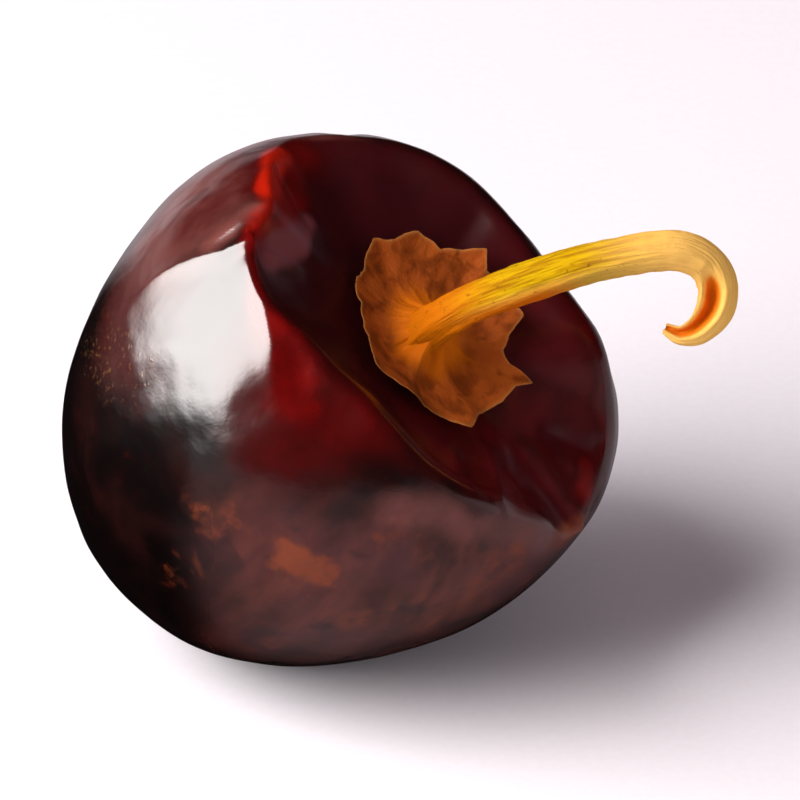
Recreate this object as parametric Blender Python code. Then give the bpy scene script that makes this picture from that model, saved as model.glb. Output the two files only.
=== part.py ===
"""A dried cascabel pepper lying on a table, with its stem up and to the right.

Metres, +Z up. The pod, the calyx and the stem are three closed solids with a hair's gap between them.
Each is worked out in the pod's own frame, in millimetres, with the origin at the middle of the pod
and Z along the stem's axis, and is then tilted and set down. The world's origin is the middle of
the small flat that the pepper rests on.
"""
import math

import bmesh
import bpy
import numpy as np
from mathutils import Matrix, Vector

MM = 0.001

# How the pepper lies: turned about its own axis, tipped over, swung round and lifted, in that order.
SPIN_DEG = 58.2
TILT_DEG = 44.2
SWING_DEG = -49.0
POD_CENTRE = (1.16, 0.08, 16.0)

# The pod's outer wall: a ball with broad swellings and dents, each given by its azimuth and its angle
# from the stem's axis in degrees, its height in millimetres and its spread in degrees. The last two
# are the dimple at the blossom end and the small nub that the flower left in it.
POD_RADIUS = 16.6
SWELLINGS = (
    (226, 125, 1.35, 38),
    (43, 54, -2.0, 30),
    (100, 66, -0.4, 24),
    (152, 102, -0.85, 28),
    (343, 71, 0.9, 20),
    (295, 103, -0.7, 28),
    (222, 33, -0.7, 16),
    (0, 180, -0.9, 10),
    (0, 180, 0.6, 3),
)

# The rim of the bowl, where the outer wall folds over into the caved-in top: azimuth in degrees,
# distance from the axis, height and the fold's rounding in millimetres.
RIM = (
    (2, 12.3, 11.6, 1.5),
    (30, 10.5, 11.5, 1.5),
    (54, 10.5, 11.4, 1.2),
    (80, 12.2, 10.4, 1.2),
    (100, 13.5, 9.1, 1.2),
    (121, 14.4, 8.1, 0.8),
    (137, 13.4, 10.2, 0.5),
    (150, 12.2, 11.8, 0.4),
    (163, 12.3, 11.7, 0.4),
    (180, 11.4, 12.3, 0.5),
    (198, 9.6, 13.6, 0.8),
    (214, 8.6, 13.8, 1.0),
    (238, 8.2, 14.1, 1.0),
    (267, 9.6, 13.5, 1.0),
    (286, 11.0, 12.7, 0.8),
    (297, 12.0, 11.8, 0.6),
    (310, 13.6, 10.2, 0.6),
    (326, 15.6, 6.4, 0.8),
    (337, 15.2, 7.6, 1.2),
    (350, 14.2, 9.2, 1.5),
)
BOWL_CENTRE = (0.5, 0.3, 9.0)
BOWL_STEEPNESS = 2.0
BOWL_SEARCH_STEPS = 12

# The wall's length from the rim to the blossom end, and the share of it that follows the rim's shape.
WALL_LENGTH = 37.5
RIM_REACH = 0.18

# The pod's mesh: how many facets go round it, across the bowl and down the outer wall, and how
# strongly its rings crowd towards the rim.
POD_ROUND = 80
POD_BOWL_RINGS = 16
POD_WALL_RINGS = 28
RING_CROWDING = 1.35

GAP = 0.3

# The calyx: its outline's tips and notches, as azimuth in degrees and radius in millimetres.
CALYX_OUTLINE = (
    (6, 6.0),
    (17, 6.5),
    (38, 5.9),
    (50, 5.9),
    (58, 6.9),
    (68, 6.1),
    (80, 5.8),
    (94, 6.7),
    (107, 6.2),
    (120, 6.7),
    (137, 5.3),
    (155, 5.3),
    (170, 4.6),
    (198, 4.0),
    (221, 5.0),
    (252, 5.1),
    (277, 5.3),
    (295, 6.5),
    (311, 5.8),
    (331, 6.4),
    (347, 7.7),
    (356, 6.3),
)
CALYX_THICKNESS = 0.7
CALYX_HUB_RADIUS = 2.9
CALYX_HUB_HEIGHT = 0.5
CALYX_HUB_SLOPE = 0.9
CALYX_ROUND = 72
CALYX_RINGS = 16

# The stem's middle line in the pod's frame, each point with the stem's radius there.
STEM_ROUTE = (
    (0.4, 0.2, 10.9, 1.8),
    (0.5, 0.3, 11.9, 1.6),
    (0.9, 0.5, 13.0, 1.5),
    (1.8, 0.9, 14.6, 1.35),
    (3.6, 1.4, 17.2, 1.25),
    (5.8, 2.0, 19.7, 1.2),
    (7.4, 2.3, 21.2, 1.2),
    (9.4, 2.6, 22.6, 1.25),
    (11.1, 2.7, 23.3, 1.25),
    (12.7, 2.3, 23.4, 1.2),
    (13.8, 1.3, 22.9, 1.2),
    (14.2, 0.1, 21.9, 1.15),
    (13.8, -0.8, 20.6, 0.9),
    (13.1, -1.0, 19.7, 0.6),
    (12.3, -0.5, 19.1, 0.35),
)
STEM_STEPS = 3

# Name: base colour in linear light, roughness
SKIN = ("dried_skin", (0.035, 0.006, 0.005, 1.0), 0.3)
PAPER = ("dry_calyx", (0.40, 0.13, 0.02, 1.0), 0.75)
WOOD = ("dry_stem", (0.75, 0.38, 0.05, 1.0), 0.6)


def clear_scene():
    for item in list(bpy.data.objects):
        bpy.data.objects.remove(item)


def new_collection(name):
    collection = bpy.data.collections.new(name)
    bpy.context.scene.collection.children.link(collection)
    return collection


def material(name, colour, roughness):
    made = bpy.data.materials.new(name)
    made.use_nodes = True
    shader = made.node_tree.nodes["Principled BSDF"]
    shader.inputs["Base Color"].default_value = colour
    shader.inputs["Roughness"].default_value = roughness
    shader.inputs["Metallic"].default_value = 0.0
    return made


def pod_to_world():
    turn = Matrix.Rotation(math.radians(SWING_DEG), 4, "Z")
    turn = turn @ Matrix.Rotation(math.radians(TILT_DEG), 4, "Y")
    turn = turn @ Matrix.Rotation(math.radians(SPIN_DEG), 4, "Z")
    return Matrix.Translation(Vector(POD_CENTRE) * MM) @ turn @ Matrix.Scale(MM, 4)


def around(table, column, azimuth):
    """A column of an azimuth table, read at any azimuths on a smooth closed curve through it."""
    knots = np.array([row[0] for row in table], float)
    values = np.array([row[column] for row in table], float)
    knots = np.concatenate((knots[-2:] - 360.0, knots, knots[:3] + 360.0))
    values = np.concatenate((values[-2:], values, values[:3]))
    slopes = np.gradient(values, knots)
    at = np.mod(azimuth - knots[1], 360.0) + knots[1]
    left = np.clip(np.searchsorted(knots, at, side="right") - 1, 0, len(knots) - 2)
    span = knots[left + 1] - knots[left]
    u = (at - knots[left]) / span
    rise = u * u * (3.0 - 2.0 * u)
    bend_out = u * (1.0 - u) ** 2 * span * slopes[left]
    bend_in = u * u * (u - 1.0) * span * slopes[left + 1]
    return values[left] * (1.0 - rise) + values[left + 1] * rise + bend_out + bend_in


def unit(azimuth, polar):
    """Directions from azimuths and angles from the stem's axis, in degrees."""
    azimuth = np.radians(azimuth)
    polar = np.radians(polar)
    flat = np.sin(polar)
    return np.stack((flat * np.cos(azimuth), flat * np.sin(azimuth), np.cos(polar)), axis=-1)


def outer_point(azimuth, polar):
    direction = unit(azimuth, polar)
    radius = np.full(direction.shape[:-1], POD_RADIUS)
    for lobe_azimuth, lobe_polar, height, spread in SWELLINGS:
        cosine = np.clip(direction @ unit(lobe_azimuth, lobe_polar), -1.0, 1.0)
        radius = radius + height * np.exp(-((np.degrees(np.arccos(cosine)) / spread) ** 2))
    return direction * radius[..., None]


def rim_point(azimuth):
    angle = np.radians(azimuth)
    radius = around(RIM, 1, azimuth)
    return np.stack((radius * np.cos(angle), radius * np.sin(angle), around(RIM, 2, azimuth)), axis=-1)


def bowl_point(azimuth, share):
    """A point of the bowl, from its middle at share 0 to the rim at share 1."""
    rim = rim_point(azimuth)
    middle = np.array(BOWL_CENTRE)
    across = np.stack((share, share, share**BOWL_STEEPNESS), axis=-1)
    return middle + (rim - middle) * across


def wall_point(azimuth, share):
    """A point of the outer wall, from the rim at share 0 to the blossom end at share 1."""
    rim = rim_point(azimuth)
    flat = np.hypot(rim[..., 0], rim[..., 1])
    first = np.degrees(np.arctan2(flat, rim[..., 2]))
    start = outer_point(azimuth, first)
    miss = rim - start
    point = outer_point(azimuth, first + (180.0 - first) * share)
    return point + miss * np.exp(-((share / RIM_REACH) ** 2))[..., None]


def pod_point(azimuth, place):
    """A point of the pod's skin: place runs from -1 in the bowl, through 0 at the rim, to 1."""
    rim = rim_point(azimuth)
    inside_length = np.linalg.norm(rim - np.array(BOWL_CENTRE), axis=-1)
    rounding = around(RIM, 3, azimuth)
    length = np.where(place < 0.0, inside_length, WALL_LENGTH)
    travel = np.abs(place) * length
    inner = bowl_point(azimuth, np.clip(1.0 + np.minimum(place, 0.0), 0.0, 1.0))
    outer = wall_point(azimuth, np.clip(place, 0.0, 1.0))
    sharp = np.where((place < 0.0)[..., None], inner, outer)
    near_inside = bowl_point(azimuth, 1.0 - rounding / inside_length)
    near_outside = wall_point(azimuth, rounding / WALL_LENGTH)
    blend = 0.5 + 0.5 * np.clip(np.where(place < 0.0, -travel, travel) / rounding, -1.0, 1.0)
    blend = blend[..., None]
    folded = near_inside * (1 - blend) ** 2 + 2.0 * rim * blend * (1 - blend) + near_outside * blend**2
    return np.where((travel < rounding)[..., None], folded, sharp)


def place_sphere(bm, rings, position):
    """Move a unit sphere's vertices to position(azimuth in degrees, ring from 0 to rings)."""
    points = np.array([vertex.co[:] for vertex in bm.verts])
    azimuth = np.degrees(np.arctan2(points[:, 1], points[:, 0]))
    polar = np.arccos(np.clip(points[:, 2], -1.0, 1.0))
    placed = position(azimuth, polar / np.pi * rings)
    for vertex, point in zip(bm.verts, placed):
        vertex.co = Vector(point)


def mesh_object(name, bm, finish, collection):
    bmesh.ops.recalc_face_normals(bm, faces=bm.faces)
    mesh = bpy.data.meshes.new(name)
    bm.to_mesh(mesh)
    bm.free()
    mesh.shade_smooth()
    mesh.materials.append(material(*finish))
    made = bpy.data.objects.new(name, mesh)
    collection.objects.link(made)
    return made


def make_pod(collection):
    rings = POD_BOWL_RINGS + POD_WALL_RINGS

    def position(azimuth, ring):
        bowl = ring / POD_BOWL_RINGS - 1.0
        wall = (ring - POD_BOWL_RINGS) / POD_WALL_RINGS
        bowl = -np.abs(np.minimum(bowl, 0.0)) ** RING_CROWDING
        wall = np.maximum(wall, 0.0) ** RING_CROWDING
        return pod_point(azimuth, np.where(ring < POD_BOWL_RINGS, bowl, wall))

    bm = bmesh.new()
    bmesh.ops.create_uvsphere(bm, u_segments=POD_ROUND, v_segments=rings, radius=1.0)
    place_sphere(bm, rings, position)
    bm.transform(pod_to_world())
    cut = bmesh.ops.bisect_plane(
        bm,
        geom=bm.verts[:] + bm.edges[:] + bm.faces[:],
        dist=1e-7,
        plane_co=(0.0, 0.0, 0.0),
        plane_no=(0.0, 0.0, -1.0),
        clear_outer=True,
    )
    border = [item for item in cut["geom_cut"] if isinstance(item, bmesh.types.BMEdge)]
    bmesh.ops.contextual_create(bm, geom=border)
    return mesh_object("pod", bm, SKIN, collection)


def calyx_point(azimuth, share, height):
    """A point of the calyx: share 0 to 1 from its middle to its edge, height above the bowl's skin."""
    angle = np.radians(azimuth)
    radius = around(CALYX_OUTLINE, 1, azimuth) * share
    x = BOWL_CENTRE[0] + radius * np.cos(angle)
    y = BOWL_CENTRE[1] + radius * np.sin(angle)
    return np.stack((x, y, bowl_height(x, y) + height), axis=-1)


def bowl_height(x, y):
    """The bowl's height at a place inside the rim."""
    across_x = x - BOWL_CENTRE[0]
    across_y = y - BOWL_CENTRE[1]
    azimuth = np.degrees(np.arctan2(y, x))
    share = np.zeros_like(x)
    for _ in range(BOWL_SEARCH_STEPS):
        rim = rim_point(azimuth)
        reach = np.hypot(rim[..., 0] - BOWL_CENTRE[0], rim[..., 1] - BOWL_CENTRE[1])
        share = np.clip(np.hypot(across_x, across_y) / reach, 0.0, 1.0)
        safe = np.maximum(share, 1e-6)
        rim_x = BOWL_CENTRE[0] + across_x / safe
        rim_y = BOWL_CENTRE[1] + across_y / safe
        azimuth = np.degrees(np.arctan2(rim_y, rim_x))
    rim = rim_point(azimuth)
    return BOWL_CENTRE[2] + (rim[..., 2] - BOWL_CENTRE[2]) * share**BOWL_STEEPNESS


def make_calyx(collection):
    half = CALYX_RINGS / 2.0

    def position(azimuth, ring):
        top = ring <= half
        share = np.where(top, ring / half, 2.0 - ring / half)
        share = np.sin(np.clip(share, 0.0, 1.0) * np.pi / 2.0)
        edge = np.sqrt(np.clip(1.0 - share**6, 0.0, 1.0))
        radius = around(CALYX_OUTLINE, 1, azimuth) * share
        hub = CALYX_HUB_HEIGHT * np.clip((CALYX_HUB_RADIUS - radius) / CALYX_HUB_SLOPE, 0.0, 1.0)
        middle = GAP + CALYX_THICKNESS / 2.0
        over = middle + CALYX_THICKNESS / 2.0 * edge + hub
        under = middle - CALYX_THICKNESS / 2.0 * edge
        return calyx_point(azimuth, share, np.where(top, over, under))

    bm = bmesh.new()
    bmesh.ops.create_uvsphere(bm, u_segments=CALYX_ROUND, v_segments=CALYX_RINGS, radius=1.0)
    place_sphere(bm, CALYX_RINGS, position)
    bm.transform(pod_to_world())
    return mesh_object("calyx", bm, PAPER, collection)


def smooth_route(points, steps):
    """Points on a smooth curve through the given ones, with steps new spans to each old one."""
    points = np.array(points)
    ends = (2 * points[0] - points[1], 2 * points[-1] - points[-2])
    known = np.vstack((ends[0], points, ends[1]))
    route = []
    for index in range(1, len(known) - 2):
        before, start, end, after = known[index - 1 : index + 3]
        for step in range(steps):
            u = step / steps
            route.append(
                start
                + 0.5 * u * (end - before)
                + u * u * (before - 2.5 * start + 2.0 * end - 0.5 * after)
                + 0.5 * u**3 * (3.0 * (start - end) + after - before)
            )
    route.append(points[-1])
    return route


def make_stem(collection):
    to_world = pod_to_world()
    curve = bpy.data.curves.new("stem", "CURVE")
    curve.dimensions = "3D"
    curve.bevel_depth = MM
    curve.bevel_resolution = 3
    curve.use_fill_caps = True
    route = smooth_route(STEM_ROUTE, STEM_STEPS)
    spline = curve.splines.new("POLY")
    spline.points.add(len(route) - 1)
    for point, (x, y, z, radius) in zip(spline.points, route):
        point.co = (*(to_world @ Vector((x, y, z))), 1.0)
        point.radius = radius
    curve.materials.append(material(*WOOD))
    made = bpy.data.objects.new("stem", curve)
    collection.objects.link(made)
    return made


def build():
    clear_scene()
    collection = new_collection("cascabel_pepper")
    make_pod(collection)
    make_calyx(collection)
    make_stem(collection)


build()
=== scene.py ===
"""The looks of a dried cascabel pepper: its glossy pod, its papery calyx and its hooked stem.

Shapes are worked out in the pod's own frame, in millimetres, as the solids were: the origin is at the
middle of the pod and Z runs along the stem's axis. Each is then tipped over and set down.
"""

import math

import bmesh
import bpy
import numpy as np
from mathutils import Matrix, Vector, noise


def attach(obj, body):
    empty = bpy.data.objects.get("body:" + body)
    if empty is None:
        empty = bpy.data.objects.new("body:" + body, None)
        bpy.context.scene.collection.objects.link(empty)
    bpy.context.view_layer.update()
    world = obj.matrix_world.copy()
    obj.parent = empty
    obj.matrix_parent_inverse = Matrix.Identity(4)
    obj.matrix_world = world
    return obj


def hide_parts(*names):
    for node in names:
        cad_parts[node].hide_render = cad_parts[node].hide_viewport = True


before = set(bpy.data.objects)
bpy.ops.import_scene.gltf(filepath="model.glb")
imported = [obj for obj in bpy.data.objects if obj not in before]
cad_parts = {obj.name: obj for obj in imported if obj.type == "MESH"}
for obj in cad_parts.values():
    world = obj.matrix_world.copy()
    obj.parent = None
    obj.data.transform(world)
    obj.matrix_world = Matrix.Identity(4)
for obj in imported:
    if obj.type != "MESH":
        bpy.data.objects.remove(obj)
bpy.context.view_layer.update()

# A millimetre in metres, and how many of them a metre holds, which a pattern's scale is worked out from.
MM = 0.001
PER_MM = 1.0 / MM

# Keeps a division away from 0, and merges vertices that are in the same place.
TINY = 1e-6

# Most of a noise pattern's values lie between these two.
NOISE_LOW = 0.25
NOISE_HIGH = 0.75

# How the pepper lies: turned about its own axis, tipped over, swung round and lifted, in that order.
SPIN_DEG = 58.2
TILT_DEG = 44.2
SWING_DEG = -49.0
POD_CENTRE = (1.16, 0.08, 16.0)

# The pod's outer wall: a ball with broad swellings and dents, each given by its azimuth and its angle
# from the stem's axis in degrees, its height in millimetres and its spread in degrees. The last two
# are the dimple at the blossom end and the small nub that the flower left in it.
POD_RADIUS = 16.6
SWELLINGS = (
    (226, 125, 1.35, 38),
    (43, 54, -2.0, 30),
    (100, 66, -0.4, 24),
    (152, 102, -0.85, 28),
    (343, 71, 0.9, 20),
    (295, 103, -0.7, 28),
    (222, 33, -0.7, 16),
    (0, 180, -0.9, 10),
    (0, 180, 0.6, 3),
)

# The rim of the bowl, where the outer wall folds over into the caved-in top: azimuth in degrees,
# distance from the axis, height and the fold's rounding in millimetres.
RIM = (
    (2, 12.3, 11.6, 1.5),
    (30, 10.5, 11.5, 1.5),
    (54, 10.5, 11.4, 1.2),
    (80, 12.2, 10.4, 1.2),
    (100, 13.5, 9.1, 1.2),
    (121, 14.4, 8.1, 0.8),
    (137, 13.4, 10.2, 0.5),
    (150, 12.2, 11.8, 0.4),
    (163, 12.3, 11.7, 0.4),
    (180, 11.4, 12.3, 0.5),
    (198, 9.6, 13.6, 0.8),
    (214, 8.6, 13.8, 1.0),
    (238, 8.2, 14.1, 1.0),
    (267, 9.6, 13.5, 1.0),
    (286, 11.0, 12.7, 0.8),
    (297, 12.0, 11.8, 0.6),
    (310, 13.6, 10.2, 0.6),
    (326, 15.6, 6.4, 0.8),
    (337, 15.2, 7.6, 1.2),
    (350, 14.2, 9.2, 1.5),
)

# The bowl's middle, how its sides steepen towards the rim, and how many steps it takes to find what
# lies under a place in it.
BOWL_CENTRE = (0.5, 0.3, 9.0)
BOWL_STEEPNESS = 2.0
BOWL_SEARCH_STEPS = 12

# The wall's length from the rim to the blossom end, and the share of it that follows the rim's shape.
WALL_LENGTH = 37.5
RIM_REACH = 0.18

# The pod's mesh: how many facets go round it, across the bowl and down the outer wall, and how
# strongly its rings crowd towards the rim.
POD_ROUND = 420
POD_BOWL_RINGS = 70
POD_WALL_RINGS = 158
RING_CROWDING = 1.25

# Folds in the pod's skin: height in millimetres (below 0 for a crease), half width, crispness from 0
# to 1, how much of the line tapers off at its start and at its end, and the line itself as azimuth
# in degrees and travel from the rim in millimetres, below 0 in the bowl.
FOLDS = (
    (0.26, 1.5, 1.0, 0.0, 0.5, ((164, -0.2), (168, 1.8), (169.5, 4.6), (172, 7.6), (176, 10.8))),
    (0.22, 1.5, 0.7, 0.1, 0.5, ((166, 0.2), (184, 0.4), (198, 1.9), (210, 3.2), (220, 4.4))),
    (0.17, 0.9, 1.0, 0.3, 0.4, ((167, 3.0), (160, 1.4), (153, 0.7))),
    (0.12, 2.2, 0.3, 0.4, 0.4, ((157, 8.5), (151, 5.5), (145, 3.6))),
    (0.12, 2.0, 0.2, 0.3, 0.4, ((189, 11.5), (188.5, 9.0), (188.5, 7.0), (187, 5.0))),
    (-0.20, 1.9, 0.0, 0.3, 0.3, ((196, 0.9), (212, 2.0), (228, 2.0), (242, 1.0))),
    (0.45, 1.9, 0.9, 0.5, 0.0, ((304, -6.6), (304, -4.5), (293, 0.0))),
    (-0.40, 2.0, 0.2, 0.4, 0.2, ((315, -6.2), (316, -3.4), (308, -0.8))),
    (0.42, 1.9, 0.9, 0.5, 0.0, ((334, -6.6), (331.5, -3.8), (327, 0.4))),
    (-0.35, 1.4, 0.7, 0.4, 0.2, ((338, -5.4), (341, -2.6), (343, 0.0))),
    (-0.25, 1.5, 0.3, 0.3, 0.3, ((287, -0.9), (291, -2.4), (296, -4.4))),
    (-0.30, 1.6, 0.6, 0.3, 0.3, ((140, -4.6), (134, -2.2), (131, 0.6))),
    (0.22, 1.3, 0.8, 0.3, 0.3, ((160, -5.0), (164, -2.6), (165, -0.6))),
    (-0.18, 1.6, 0.3, 0.5, 0.5, ((70, -7.0), (66, -2.5), (64, 2.0))),
    (0.16, 1.5, 0.5, 0.5, 0.5, ((30, -6.5), (27, -2.0), (24, 3.0))),
    (-0.28, 1.8, 0.5, 0.2, 0.6, ((104, 0.2), (101, 4.0), (98, 9.0), (97, 14.0))),
    (-0.22, 1.7, 0.4, 0.2, 0.6, ((50, 0.6), (52, 4.0), (55, 9.0), (56, 13.0))),
    (-0.25, 2.0, 0.4, 0.2, 0.6, ((8, 0.8), (5, 5.0), (3, 10.0), (4, 15.0))),
)

# Soft bumps all over the skin: height and width in millimetres.
POD_BUMPS = ((0.16, 7.0), (0.035, 2.6))

# Shallow creases that run down the wall, in millimetres.
CREASE_HEIGHT = 0.05
CREASE_WIDTH = 2.4
CREASE_LENGTH = 14.0

# The strokes below are painted on the skin. Each is at full strength over its middle sixth, and fades
# from there to its edges.
STROKE_GAIN = 1.2

# Skin so thin that it shows red: strength, half width and line, as for the folds.
THIN_SKIN = (
    (0.7, 3.2, ((123, -1.2), (133, -1.7), (146, -1.6))),
    (0.8, 2.0, ((140, -1.6), (152, -1.1), (162, -0.7))),
    (0.65, 1.3, ((156, -0.3), (168, -0.1), (182, 0.1), (192, 0.7))),
    (0.5, 2.6, ((190, 0.4), (200, 1.1), (208, 1.9), (216, 2.8))),
    (0.5, 5.4, ((202, 2.2), (213, 3.8), (224, 5.0), (230, 3.0))),
    (0.2, 3.4, ((214, 1.0), (228, 1.2), (240, 0.6))),
    (0.3, 2.4, ((240, 0.3), (252, 0.2), (266, 0.4))),
    (0.35, 2.0, ((222, -1.2), (240, -1.4), (258, -1.5))),
    (0.4, 2.0, ((286, -0.6), (296, -3.4))),
    (0.6, 0.9, ((338, -1.4), (333, -0.8))),
    (0.5, 1.1, ((333, -5.5), (332, -3.0), (332, -1.0))),
    (0.35, 1.0, ((343, -0.3), (353, -0.5), (4, -0.6), (12, -0.5))),
    (0.45, 4.0, ((338, 1.8), (355, 2.0), (15, 2.0))),
    (0.25, 3.0, ((15, 2.0), (45, 1.6), (80, 1.6), (110, 1.6))),
    (0.35, 4.0, ((132, 2.2), (146, 3.0), (154, 5.0))),
    (0.25, 4.5, ((172, 10.5), (182, 9.5), (192, 9.0))),
)

# The orange crest of the fold beside the bowl.
CREST = (
    (0.95, 1.5, ((128, -0.2), (135, -0.3), (143, -0.2))),
    (0.5, 1.3, ((143, 0.1), (152, 0.2), (158, 0.2))),
)

# A dull grey-pink bloom along the shoulder, round the highlight and under the rim in front, which also
# paints the shoulder's sheen and, as a painted reflection, the streak above the highlight. The facet in
# the bowl has the same grey-pink as a painted reflection.
BLOOM_AND_SHEEN = (
    (0.6, 7.5, ((120, 3.0), (140, 6.0), (158, 7.0))),
    (0.3, 2.8, ((126, 2.2), (140, 2.4), (152, 3.2))),
    (0.5, 1.1, ((166, 2.7), (160, 1.4), (154, 0.9))),
    (0.15, 3.6, ((178, 10.8), (186, 10.4))),
    (0.45, 1.9, ((262, 3.4), (274, 2.4), (290, 1.8), (305, 1.4), (318, 1.2))),
)
FACET = (
    (0.9, 1.4, ((139, -3.8), (150, -3.0))),
    (0.9, 2.0, ((151, -2.8), (159, -2.2))),
    (0.9, 1.5, ((159, -2.2), (166, -1.5))),
)

# Corky golden specks.
SPECKS = ((0.8, 3.2, ((177, 13.0), (185, 11.5), (191, 9.8))),)

# Rust-brown patches in the skin: strength, half width and line.
RUST = (
    (1.0, 2.0, ((245, 9.6), (253, 9.0))),
    (0.3, 2.2, ((231, 15.5), (234, 14.0))),
    (0.4, 2.2, ((224, 11.6), (230, 10.0))),
    (0.45, 1.8, ((262, 11.5), (271, 10.2), (280, 8.0))),
    (0.5, 1.8, ((286, 10.5), (292, 6.0), (300, 4.0))),
    (0.45, 1.6, ((292, 4.0), (300, 3.0), (306, 4.4))),
    (0.9, 1.7, ((316, 1.4), (324, 0.3), (331, -0.5))),
    (0.4, 1.8, ((258, 5.6), (266, 4.6), (274, 5.0))),
    (0.4, 2.0, ((20, 9.0), (32, 12.0))),
    (0.5, 2.0, ((140, 20.0), (152, 22.0))),
)

# Where the outer skin is weathered and mottled brown: strength, half width and line.
WEATHERED = (
    (0.9, 9.4, ((254, 9.5), (290, 8.0))),
    (0.85, 7.6, ((260, 16.0), (300, 16.0))),
    (1.0, 4.6, ((271, 4.4), (292, 4.0), (322, 4.2))),
    (0.3, 4.0, ((227, 9.6), (237, 8.6))),
    (0.5, 9.0, ((20, 14.0), (60, 20.0))),
    (0.6, 9.0, ((110, 22.0), (160, 26.0))),
)

# How far and how finely the edges of thin skin, rust and weathering wander, in millimetres, and the
# share of that wandering that the other strokes have.
WANDER = 0.9
WANDER_SIZE = 2.2
SLIGHT_WANDER = 0.3
# The wandering in X, Y and Z is the same noise read this far apart.
WANDER_SHIFTS = (0.0, 40.0, 80.0)

# The width round the rim in which the bowl's colour meets the outer wall's.
BOWL_EDGE_WIDTH = 1.2

# Painted light: the side of the bowl that is lighter, its azimuth in degrees, and the distances from the
# stem's axis towards it between which the bowl lightens.
LIT_AZIMUTH = 320.0
LIT_FROM = -4.0
LIT_TO = 8.0

# The calyx: its outline's tips and notches, as azimuth in degrees and radius in millimetres.
CALYX_OUTLINE = (
    (6, 5.3),
    (17, 6.5),
    (38, 5.9),
    (50, 5.9),
    (58, 6.9),
    (68, 6.1),
    (80, 5.8),
    (94, 6.7),
    (107, 6.2),
    (120, 6.7),
    (137, 5.3),
    (155, 5.3),
    (170, 4.6),
    (198, 4.3),
    (221, 5.3),
    (252, 5.4),
    (277, 5.5),
    (295, 6.5),
    (311, 5.8),
    (331, 6.4),
    (340, 6.6),
    (346, 7.6),
    (351, 5.9),
    (358, 5.3),
)

# The calyx's thickness, its gap above the bowl and how far its lobes lift, in millimetres. The lift
# grows as the third power of the way out, and the calyx thins only just inside its edge.
CALYX_THICKNESS = 0.32
CALYX_GAP = 0.35
CALYX_LIFT = 0.75
CALYX_LIFT_POWER = 3
CALYX_EDGE_POWER = 12

# The collar that it makes round the stem's root.
COLLAR_HEIGHT = 3.2
COLLAR_RADIUS = 1.7
COLLAR_CENTRE = (0.7, 0.4)

# The calyx's small relief, as heights and widths: nicks in its outline, whose widths are in radians
# round it, and crumples. Then how unevenly the lobes lift and how unevenly the collar spreads, as
# shares of the lift and of the radius.
CALYX_NICKS = ((0.16, 0.16), (0.08, 0.06))
CALYX_CRUMPLES = ((0.16, 1.9), (0.07, 0.8))
LIFT_NOISE = ((0.9, 2.6),)
COLLAR_NOISE = ((0.25, 0.45),)

# The calyx's veins: their depth, their width in radians, the radius where they are at full depth, and
# how fast they change with the radius.
VEIN_DEPTH = 0.1
VEIN_WIDTH = 0.22
VEIN_START = 2.0
VEIN_DRIFT = 0.12

# The calyx's mesh: how many facets go round it, and how many go over its top and under it.
CALYX_ROUND = 360
CALYX_RINGS = 120

# The stem's middle line in the pod's frame, each point with the stem's radius there.
STEM_ROUTE = (
    (0.4, 0.2, 9.8, 1.3),
    (0.5, 0.3, 11.2, 1.25),
    (0.9, 0.5, 13.0, 1.2),
    (1.8, 0.9, 14.6, 1.2),
    (3.6, 1.4, 17.2, 1.25),
    (5.8, 2.0, 19.7, 1.2),
    (7.4, 2.3, 21.2, 1.2),
    (9.4, 2.6, 22.6, 1.25),
    (11.1, 2.7, 23.3, 1.25),
    (12.7, 2.3, 23.4, 1.2),
    (13.8, 1.3, 22.9, 1.2),
    (14.2, 0.1, 21.9, 1.15),
    (13.8, -0.8, 20.6, 0.9),
    (13.1, -1.0, 19.7, 0.6),
    (12.3, -0.5, 19.1, 0.35),
)

# The stem's mesh: how many spans lie between two points of its route, how many facets go round it, and
# how many rings round off each end.
STEM_STEPS = 18
STEM_ROUND = 72
STEM_CAP_RINGS = 4

# The stem's ribs: how many, their height as a share of its radius, and their turn in radians for each
# millimetre. Then its flare at the root and the length that the flare fades over.
STEM_RIBS = 5
STEM_RIB_HEIGHT = 0.09
STEM_RIB_TURN = 0.06
STEM_FLARE = 0.35
STEM_FLARE_LENGTH = 1.2

# The stem's fibres: heights, and widths in radians. Their pattern is drawn out along the stem, where a
# millimetre counts as FIBRE_STEP. The knobs on them are KNOB_SHORTNESS times shorter for their width.
FIBRES = ((0.06, 0.28),)
FIBRE_STEP = 0.05
KNOBS = ((0.05, 0.5),)
KNOB_SHORTNESS = 12.0

# The split along the hook: where it starts and is fully open, as distances along the stem. Its depth,
# its half width, how far it lies from the middle and how soon its edge deepens are shares of the
# stem's radius there, which is taken to be at least the last value.
SPLIT_START = 19.5
SPLIT_OPEN = 22.5
SPLIT_DEPTH = 1.3
SPLIT_HALF_WIDTH = 0.62
SPLIT_OFFSET = 0.25
SPLIT_EDGE = 0.5
SPLIT_LEAST_RADIUS = 0.05

# The camera looks down at the pepper from in front. All its lengths are in millimetres, and its aim
# is how far from the pod's centre it looks, to the right and up across its view.
CAMERA_ELEVATION_DEG = 30.0
CAMERA_DISTANCE = 600.0
CAMERA_LENS = 441.0
CAMERA_NEAREST = 10.0
CAMERA_AIM = (3.735, -0.143)

# Half the floor's side in metres.
FLOOR_HALF_SIDE = 3.0

# How bright the floor looks in glossy skin: a way over it, the distances in metres along that way
# between which it changes, and its new colour.
GLARES = (
    ((0.46, -0.89, 0.0), 0.004, 0.014, "5c5a5e"),
    ((0.46, -0.89, 0.0), 0.10, 0.26, "1c1a1c"),
    ((0.8, 0.6, 0.0), 0.008, 0.022, "8a868a"),
    ((-0.38, 0.92, 0.0), 0.15, 0.3, "4a4447"),
)

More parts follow.
